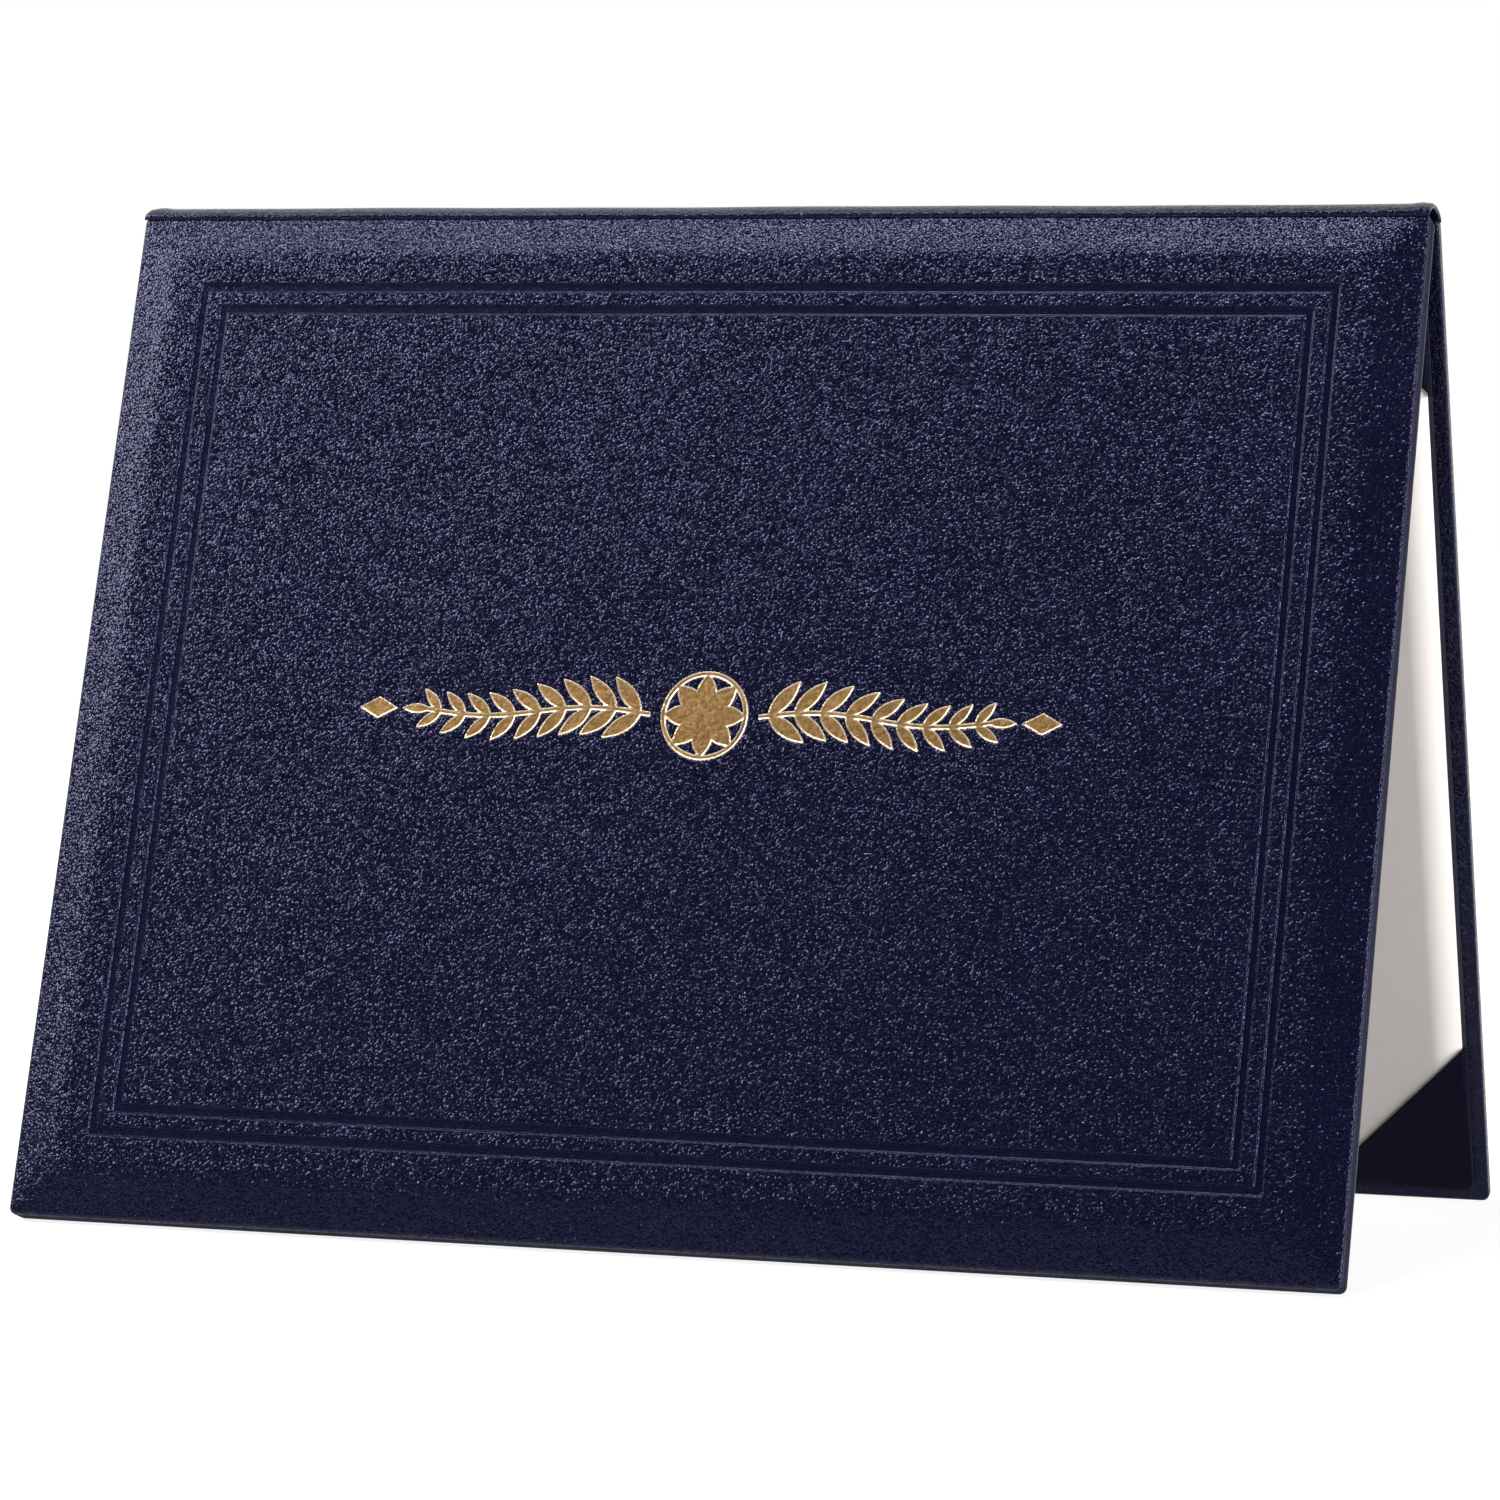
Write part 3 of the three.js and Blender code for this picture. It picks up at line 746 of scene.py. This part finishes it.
# A fine grid over a figure of the ornament. Points near the outline move onto it, along the slope of the
# distance, the rest is left away, and the foil follows the stamped floor and its walls.
def makeFoil(name, distanceAt, left, right, halfHeight):
    cell = foil["cell"]
    x, y = np.meshgrid(np.arange(left, right, cell), np.arange(-halfHeight, halfHeight, cell))
    probe = cell / 4
    distance = distanceAt(x, y) - foil["spill"]
    slopeX = (distanceAt(x + probe, y) - distanceAt(x - probe, y)) / (2 * probe)
    slopeY = (distanceAt(x, y + probe) - distanceAt(x, y - probe)) / (2 * probe)
    steep = np.maximum(slopeX ** 2 + slopeY ** 2, foil["leastSteepness"])
    near = np.abs(distance) < foil["snap"] * cell
    x = np.where(near, x - distance * slopeX / steep, x)
    y = np.where(near, y - distance * slopeY / steep, y)
    inside = (distance < 0) | near
    rows, columns = x.shape
    quads = gridFaces(rows, columns)
    held = inside.ravel()[quads]
    whole = quads[held.all(1)]
    cut = held.sum(1) == 3
    parts = [whole]
    for missing in range(4):
        few = cut & ~held[:, missing]
        parts.append(quads[few][:, [k for k in range(4) if k != missing]])
    used = np.unique(np.concatenate([part.ravel() for part in parts]))
    number = np.full(rows * columns, -1)
    number[used] = np.arange(len(used))
    x, y = x.ravel()[used], y.ravel()[used]
    centreY = tent["height"] / 2 - ornament["riseAboveMiddle"]
    down = centreY - y
    out = padded["plateau"] + faceWaves(x, down) - stampFall(x, y) + foil["lift"]
    # The rim share, 1 at the outline, is where the foil gets its painted highlight colour.
    rim = 1 - ease(-distanceAt(x, y), 0.0, foil["rim"])
    faces = [number[part] for part in parts if len(part)]
    piece = makePiece(name, onCover(-1, x, down, out), faces, goldFoil, {"rim": rim})
    wall = piece.modifiers.new("foilThickness", "SOLIDIFY")
    wall.thickness = foil["thickness"] * mm
    wall.offset = -1
    return piece


for sideName, side in (("left", -1), ("right", 1)):
    for figure, distanceAt in (("branch", branchDistance), ("lozenge", lozengeDistance)):
        ends = sorted(side * end for end in foil[figure + "Span"])
        piece = makeFoil("gold_" + figure + "_" + sideName, lambda x, y: distanceAt(np.abs(x), y), *ends,
                         foil[figure + "Half"])
        finishPiece(piece, "front_cover", "gold_foil", "foil_" + figure + "_" + sideName)
half = foil["rosetteHalf"]
piece = makeFoil("gold_rosette", rosetteDistance, -half, half, half)
finishPiece(piece, "front_cover", "gold_foil", "foil_rosette")

# Back: flat leatherette round a board, turned in on its inner side
plain = {
    "edgeRound": 0.9,
    "thickness": 3.1,
    "cavityTop": 2.45,
    "faceRows": (1.6, 3.0, 6.0, 10.0, 16.0, 24.0, 34.0, 46.0, 60.0, 76.0),
    "unevenness": 0.05,
}


# Loops of points as on the front, from the cavity over the turn-in and the edge to a flat face.
def makeBack():
    p = padded
    inset = [p["cavity"][0], p["cavity"][0], p["turnIn"], p["turnIn"], *p["turnInRows"]]
    height = [plain["cavityTop"], p["skin"], p["skin"], 0.0] + [0.0] * len(p["turnInRows"])
    reach, rise = arcStations(p["innerRound"], np.linspace(90, 0, 7))
    inset += list(reach)
    height += list(p["innerRound"] - rise)
    reach, rise = arcStations(plain["edgeRound"], np.linspace(0, 90, 9))
    wallTop = plain["thickness"] - plain["edgeRound"]
    inset += [0.0, *reach]
    height += [(wallTop + p["innerRound"]) / 2, *(wallTop + rise)]
    inset += plain["faceRows"]
    height += [plain["thickness"]] * len(plain["faceRows"])
    inset, height = np.array(inset), np.array(height)
    topInset = inset.copy()
    topInset[:turnInCount] = np.minimum(inset[:turnInCount], p["cavity"][0])
    radius = np.full(len(inset), p["edgeCorner"])
    radius[:turnInCount] = p["turnInCorner"]
    across, down, away = rectangleLoops(inset, topInset, radius, np.zeros(len(inset)), *p["parts"])
    waves = (ease(inset, 3.0, 20.0) * (1 - ease(inset, 50.0, 74.0)))[:, None] * faceWaves(across, down)
    out = height[:, None] + waves * plain["unevenness"] / p["unevenness"]
    points = onCover(1, across, down, out + mitreFold(inset, away))
    return makePiece("back_leatherette", points, tubeFaces(*across.shape), coverLeather)


back = makeBack()
finishPiece(back, "back_cover", "leatherette", "cover_back")

# Spine: leatherette arched over the gap, with its ends folded in
spine = {
    "lift": 0.65,
    "endInset": 0.4,
    "frontInset": 0.2,
    "frontEdge": 6.0,
    "backEdge": 3.1,
    "bulge": 1.6,
    "skin": 0.5,
    "overrun": 0.1,
    "bevel": 1.1,
    "steps": 22,
    "foldDepth": 14.0,
    "foldRound": 0.5,
    "lump": 0.28,
    "lumpInset": 2.6,
    "lumpWidth": 1.7,
    "wave": 0.06,
    "thinnest": 0.1,
    "evenFrom": 18,
    "evenCount": 46,
}


# A cover's place along and out from the hinge, as Y and Z in millimetres.
def acrossHinge(side, along, out):
    sine, cosine = math.sin(tent["halfAngle"]), math.cos(tent["halfAngle"])
    return np.array([tent["hingeY"] + side * (out * cosine - along * sine),
                     tent["hingeZ"] + out * sine + along * cosine])


# The arch is a circle through both ends. A folded strip (x along the spine, n off the arch) is carried
# round it in steps that close up towards the ends, and thins out in a quarter round at its long edges.
def makeSpine():
    s = spine
    first = acrossHinge(-1, -s["lift"], tent["halfGap"] + s["frontEdge"] - s["frontInset"])
    last = acrossHinge(1, -s["lift"], tent["halfGap"] + s["backEdge"] - s["endInset"])
    chord = last - first
    half = np.hypot(*chord) / 2
    radius = (half ** 2 + s["bulge"] ** 2) / (2 * s["bulge"])
    upward = np.array([-chord[1], chord[0]]) / (2 * half)
    centre = (first + last) / 2 + upward * (s["bulge"] - radius)
    angles = [math.atan2(*(end - centre)[::-1]) for end in (first, last)]
    span = angles[1] - angles[0]
    share = 0.5 - 0.5 * np.cos(np.linspace(0, math.pi, s["steps"] + 1))
    turn = angles[0] - span * s["overrun"] + share * span * (1 + 2 * s["overrun"])
    fromEdge = np.minimum(share, 1 - share) * abs(span) * radius * (1 + 2 * s["overrun"])
    bevel = np.sqrt(1 - (1 - np.clip(fromEdge / s["bevel"], 0, 1)) ** 2)[:, None]
    bevel = bevel * (1 - s["thinnest"]) + s["thinnest"]
    end = tent["width"] / 2
    near = np.array([0.5, 0.9, 1.4, 2.0, 2.8, 3.8, 5.2, 7.0, 9.5, 13.0])
    even = np.linspace(s["evenFrom"] - end, end - s["evenFrom"], s["evenCount"])
    outerX = np.concatenate([near - end, even, (end - near)[::-1]])
    lump = s["lump"] * np.exp(-((end - np.abs(outerX) - s["lumpInset"]) / s["lumpWidth"]) ** 2)
    outerN = s["skin"] + lump + s["wave"] * (np.sin(outerX / 19) + 0.7 * np.sin(outerX / 7.3 + 1))
    bend = np.radians(np.linspace(75, -75, 6))
    bendX = end - s["foldRound"] + s["foldRound"] * np.cos(bend)
    bendN = s["skin"] - s["foldRound"] + s["foldRound"] * np.sin(bend)
    foldX = np.array([end - s["foldRound"], end - s["foldDepth"], end - s["foldDepth"]])
    foldN = np.array([-s["skin"], -s["skin"], 0.0])
    x = np.concatenate([outerX, bendX, foldX, -foldX[::-1], -bendX[::-1]])
    n = np.concatenate([outerN, bendN, foldN, foldN[::-1], bendN[::-1]])
    reach = radius - s["skin"] + (n[None, :] + s["skin"]) * bevel
    y = centre[0] + reach * np.cos(turn)[:, None]
    z = centre[1] + reach * np.sin(turn)[:, None]
    points = np.stack([np.broadcast_to(x, y.shape), y, z], -1).reshape(-1, 3) * mm
    return makePiece("spine_leatherette", points, tubeFaces(*y.shape), coverLeather), first, last


spinePiece, spineStart, spineEnd = makeSpine()
finishPiece(spinePiece, None, "leatherette", "cover_spine")
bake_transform(spinePiece)

# Hinge strip inside the spine: glued to both boards, with a soft fold over the hinge
strip = {
    "legRows": (14.0, 9.0, 5.0, 2.5, 1.2, 0.4, 0.0),
    "thickness": 0.5,
    "peak": 0.35,
    "crown": 0.3,
    "crownPlaces": (-0.6, 0.0, 0.6),
    "endInset": 14.15,
    "columns": 60,
}


# Its section runs up the front board, over the hinge as a parabola and down the back board, and is drawn
# out along the spine.
def makeStrip():
    legs = np.array(strip["legRows"])
    inner, outer = [], []
    for side, order in ((-1, 1), (1, -1)):
        for down in legs[::order]:
            inner.append(acrossHinge(side, -tent["hingeRise"] - down, tent["halfGap"]))
            outer.append(acrossHinge(side, -tent["hingeRise"] - down, tent["halfGap"] + strip["thickness"]))
        if side < 0:
            for place in strip["crownPlaces"]:
                rise = strip["peak"] - strip["crown"] * place ** 2
                inner.append(np.array([tent["hingeY"] + place, tent["hingeZ"] + rise]))
                outer.append(np.array([tent["hingeY"] + place, tent["hingeZ"] + rise + strip["thickness"]]))
    section = np.array(inner + outer[::-1])
    end = tent["width"] / 2 - strip["endInset"]
    x = np.linspace(-end, end, strip["columns"])
    points = np.zeros((len(x), len(section), 3))
    points[:, :, 0] = x[:, None]
    points[:, :, 1:] = section
    faces = tubeFaces(len(x), len(section))
    return makePiece("hinge_leatherette", points.reshape(-1, 3) * mm, faces, coverLeather)


stripPiece = makeStrip()
finishPiece(stripPiece, None, "leatherette", "hinge_strip")
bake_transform(stripPiece)

# Corner pockets: folded triangles, a little domed, open along the diagonal
pocket = {
    "inset": 3.2,
    "leg": 34.8,
    "face": -1.45,
    "roof": -1.1,
    "foot": -0.7,
    "wall": 0.5,
    "tipWall": 0.3,
    "dome": 0.22,
    "roofDome": 0.8,
    "edgeRound": 0.3,
    "edgeDrop": 0.9,
    "points": 19,
}


# Each station runs parallel to the diagonal, once round: over the face, down a wall and back under
# the roof.
def makePocket(name, sideX, upper):
    p = pocket
    share = np.linspace(0, 1, p["points"])
    tip, edge = [0.03, 0.08, 0.15], [0.965, 0.98, 0.99, 0.996, 1.0]
    station = np.concatenate([tip, np.linspace(0.24, 0.94, 9), edge])
    reach = station[:, None] * p["leg"]
    gap = (1 - station[:, None]) * p["leg"]
    past = 1 - np.clip(gap / p["edgeRound"], 0, 1)
    drop = p["edgeRound"] * (1 - np.sqrt(np.clip(1 - past ** 2, 0, 1)))
    dome = p["dome"] * np.sin(share * math.pi) * np.sin(station[:, None] * math.pi * 0.75)
    topX, topY = reach * (1 - share), reach * share
    face = p["face"] - dome + drop * p["edgeDrop"]
    wall = np.minimum(p["wall"], reach * p["tipWall"])
    none = np.zeros_like(reach)
    foot, roof = none + p["foot"], p["roof"] - dome[:, ::-1] * p["roofDome"]
    roofX = wall + (reach - 2 * wall) * (1 - share)
    roofY = wall + (reach - 2 * wall) * share
    alongX = np.concatenate([reach, topX, none, wall, roofX[:, ::-1], reach - wall], 1)
    alongY = np.concatenate([none, topY, reach, reach - wall, roofY[:, ::-1], wall], 1)
    out = np.concatenate([foot, face, foot, foot, roof, foot], 1)
    across = sideX * (tent["width"] / 2 - p["inset"] - alongX)
    down = p["inset"] + alongY if upper else tent["height"] - p["inset"] - alongY
    faces = tubeFaces(*across.shape)
    if (sideX > 0) == upper:
        faces = [few[:, ::-1] for few in faces]
    # The pocket takes the darkened leatherette, painted shade.
    return makePiece(name, onCover(1, across, down, out), faces, pocketShadedLeather)


for level in ("upper", "lower"):
    for sideName, side in (("left", -1), ("right", 1)):
        piece = makePocket("corner_" + level + "_" + sideName, side, level == "upper")
        finishPiece(piece, "back_cover", "pocket_leatherette", "pocket_" + level + "_" + sideName)

# Certificate: a blank sheet held by its corners, bowed a little off the lining
sheet = {
    "width": 279.4,
    "height": 215.9,
    "thickness": 0.25,
    "face": -0.95,
    "bow": 0.45,
    "bowWave": 0.2,
    "heldReach": 90,
    "heldShare": 0.38,
    "slide": 2.25,
    "sink": 1.4,
    "columns": 41,
    "rows": 33,
}


# The sheet is flat where the pockets hold its corners, bows out in between, and waves a little.
def makeSheet():
    s = sheet
    u, v = np.meshgrid(np.linspace(0, 1, s["columns"]), np.linspace(0, 1, s["rows"]))
    across = (u - 0.5) * s["width"] + s["slide"]
    down = tent["height"] / 2 + s["sink"] + (v - 0.5) * s["height"]
    fromCorner = np.minimum(u, 1 - u) * s["width"] + np.minimum(v, 1 - v) * s["height"]
    free = np.minimum(fromCorner, s["heldReach"]) / s["heldReach"]
    wave = 1 - s["bowWave"] + s["bowWave"] * np.sin(v * 9 + u * 4)
    bow = s["bow"] * ease(free, s["heldShare"], 1.0) * wave
    out = s["face"] - bow
    rows, columns = u.shape
    count = rows * columns
    top = gridFaces(rows, columns)
    number = np.arange(count).reshape(rows, columns)
    rim = np.concatenate([number[0], number[1:, -1], number[-1, -2::-1], number[-2:0:-1, 0]])
    beside = np.roll(rim, -1)
    side = np.stack([beside, beside + count, rim + count, rim], -1)
    points = np.concatenate([onCover(1, across, down, out + layer) for layer in (0, s["thickness"])])
    return makePiece("certificate_sheet", points, [top[:, ::-1], top + count, side], certificatePaper)


sheetPiece = makeSheet()
finishPiece(sheetPiece, "back_cover", "certificate_paper", "certificate")

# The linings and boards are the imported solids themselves
for sideName in ("front", "back"):
    for layer, material in (("lining", liningPaper), ("board", greyBoard)):
        mesh = nodes[sideName + "_" + layer].data
        mesh.materials.clear()
        mesh.materials.append(material)

# Camera, from the lines of the photograph: place in metres, turns in degrees
view = {
    "place": (0.39324, -1.18009, 0.17733),
    "yaw": 18.606,
    "pitch": 3.512,
    "roll": 0.420,
    "lens": 137.18,
    "sensor": 36,
    "clip": (0.01, 20),
}


# The camera turns left by its yaw, down by its pitch and round its own axis by its roll.
def makeCamera():
    camera = bpy.data.cameras.new("camera")
    camera.lens, camera.sensor_width = view["lens"], view["sensor"]
    camera.clip_start, camera.clip_end = view["clip"]
    holder = addObject("camera", camera)
    bpy.context.scene.camera = holder
    yaw, pitch, roll = (math.radians(view[key]) for key in ("yaw", "pitch", "roll"))
    ahead = np.array([-math.sin(yaw), math.cos(yaw), 0])
    right = np.array([math.cos(yaw), math.sin(yaw), 0])
    forward = ahead * math.cos(pitch) - np.array([0, 0, math.sin(pitch)])
    up = np.array([0, 0, math.cos(pitch)]) + ahead * math.sin(pitch)
    turnedRight = right * math.cos(roll) + up * math.sin(roll)
    turnedUp = up * math.cos(roll) - right * math.sin(roll)
    matrix = np.eye(4)
    matrix[:3] = np.stack([turnedRight, turnedUp, -forward, view["place"]], 1)
    holder.matrix_world = Matrix(matrix.tolist())


makeCamera()

# Studio: soft lamps, a pale floor, white behind
studio = {
    "fill": 0.025,
    "backdropFrom": (0.1, 0.3),
    "aim": (0, 0, 0.11),
    "lamps": {
        "left": {"place": (-1.3, -0.5, 1.05), "size": (0.75, 0.75), "watts": 33},
        "top": {"place": (-0.3, -0.45, 1.75), "size": (0.7, 0.5), "watts": 34},
        "front": {"place": (-0.7, -1.25, 0.85), "size": (0.6, 0.5), "watts": 0.18},
        "right": {"place": (2.2, -0.8, 0.2), "size": (0.8, 0.8), "watts": 52},
        "rim": {"place": (1.75, -0.26, 0.66), "size": (0.25, 0.25), "watts": 18},
    },
}


# A rectangular lamp that faces the object.
def makeLamp(name, lamp):
    light = bpy.data.lights.new(name, "AREA")
    light.shape, light.size, light.size_y, light.energy = "RECTANGLE", *lamp["size"], lamp["watts"]
    holder = addObject(name, light)
    place = Vector(lamp["place"])
    holder.location = place
    holder.rotation_mode = "QUATERNION"
    holder.rotation_quaternion = (Vector(studio["aim"]) - place).to_track_quat("-Z", "Y")


for name, lamp in studio["lamps"].items():
    makeLamp(name, lamp)


# What the camera sees, or a glossy or clear surface: the rays' marks, each 0 or 1.
def seenRays(tree):
    path = addNode(tree, "ShaderNodeLightPath").outputs
    mirrored = math2(tree, "MAXIMUM", path["Is Glossy Ray"], path["Is Transmission Ray"])
    return path["Is Camera Ray"], mirrored


# The world lights evenly. The camera sees it white, and so does a glossy or clear surface, but only
# behind the object, where the backdrop stands.
def makeWorld():
    world = bpy.data.worlds.new("studio")
    bpy.context.scene.world = world
    world.use_nodes = True
    tree = world.node_tree
    tree.nodes.clear()
    straight, mirrored = seenRays(tree)
    even = addNode(tree, "ShaderNodeBackground", {"Color": (1, 1, 1, 1), "Strength": studio["fill"]})
    white = addNode(tree, "ShaderNodeBackground", {"Color": (1, 1, 1, 1), "Strength": 1.0})
    facing = addNode(tree, "ShaderNodeTexCoord").outputs["Generated"]
    depth = addNode(tree, "ShaderNodeSeparateXYZ", {0: facing}).outputs["Y"]
    behind = mapRange(tree, depth, source=studio["backdropFrom"])
    seen = math2(tree, "MAXIMUM", straight, math2(tree, "MULTIPLY", mirrored, behind))
    mix = addNode(tree, "ShaderNodeMixShader", {0: seen, 1: even.outputs[0], 2: white.outputs[0]})
    output = addNode(tree, "ShaderNodeOutputWorld")
    tree.links.new(mix.outputs[0], output.inputs["Surface"])


makeWorld()

# Floor: how much it throws back to the object and in its own shadow, and how its seen brightness rises
# with the distance from the object
ground = {
    "matt": (0.5, 0.5, 0.5, 1),
    "shadowed": (0.25, 0.25, 0.25, 1),
    "reach": (0.25, 0.8),
    "glow": (0.86, 1.0),
    "half": 6,
    "drop": 0.0001,
}


# A matt floor for the light that falls on the object. The camera, and a glossy or clear surface, see it
# glow instead, with the object's shadow in it.
def makeFloor():
    material = bpy.data.materials.new("paleFloor")
    material.use_nodes = True
    tree = material.node_tree
    tree.nodes.clear()
    straight, mirrored = seenRays(tree)
    matt = addNode(tree, "ShaderNodeBsdfDiffuse", {"Color": ground["matt"]})
    shadowed = addNode(tree, "ShaderNodeBsdfDiffuse", {"Color": ground["shadowed"]})
    place = addNode(tree, "ShaderNodeTexCoord").outputs["Object"]
    away = vectorMath(tree, "LENGTH", {0: place})["Value"]
    strength = mapRange(tree, away, ground["reach"], ground["glow"], interpolation_type="SMOOTHSTEP")
    glow = addNode(tree, "ShaderNodeEmission", {"Color": (1, 1, 1, 1), "Strength": strength})
    glowing = addNode(tree, "ShaderNodeAddShader", {0: shadowed.outputs[0], 1: glow.outputs[0]})
    seen = math2(tree, "MAXIMUM", straight, mirrored)
    mix = addNode(tree, "ShaderNodeMixShader", {0: seen, 1: matt.outputs[0], 2: glowing.outputs[0]})
    output = addNode(tree, "ShaderNodeOutputMaterial")
    tree.links.new(mix.outputs[0], output.inputs["Surface"])
    half, drop = ground["half"], ground["drop"]
    corners = ((-half, -half), (half, -half), (half, half), (-half, half))
    points = np.array([[x, y, -drop] for x, y in corners])
    floor = makePiece("floor", points, [np.array([[0, 1, 2, 3]])], material)


makeFloor()
bpy.context.scene.view_settings.view_transform = "Standard"
print("studio ready")
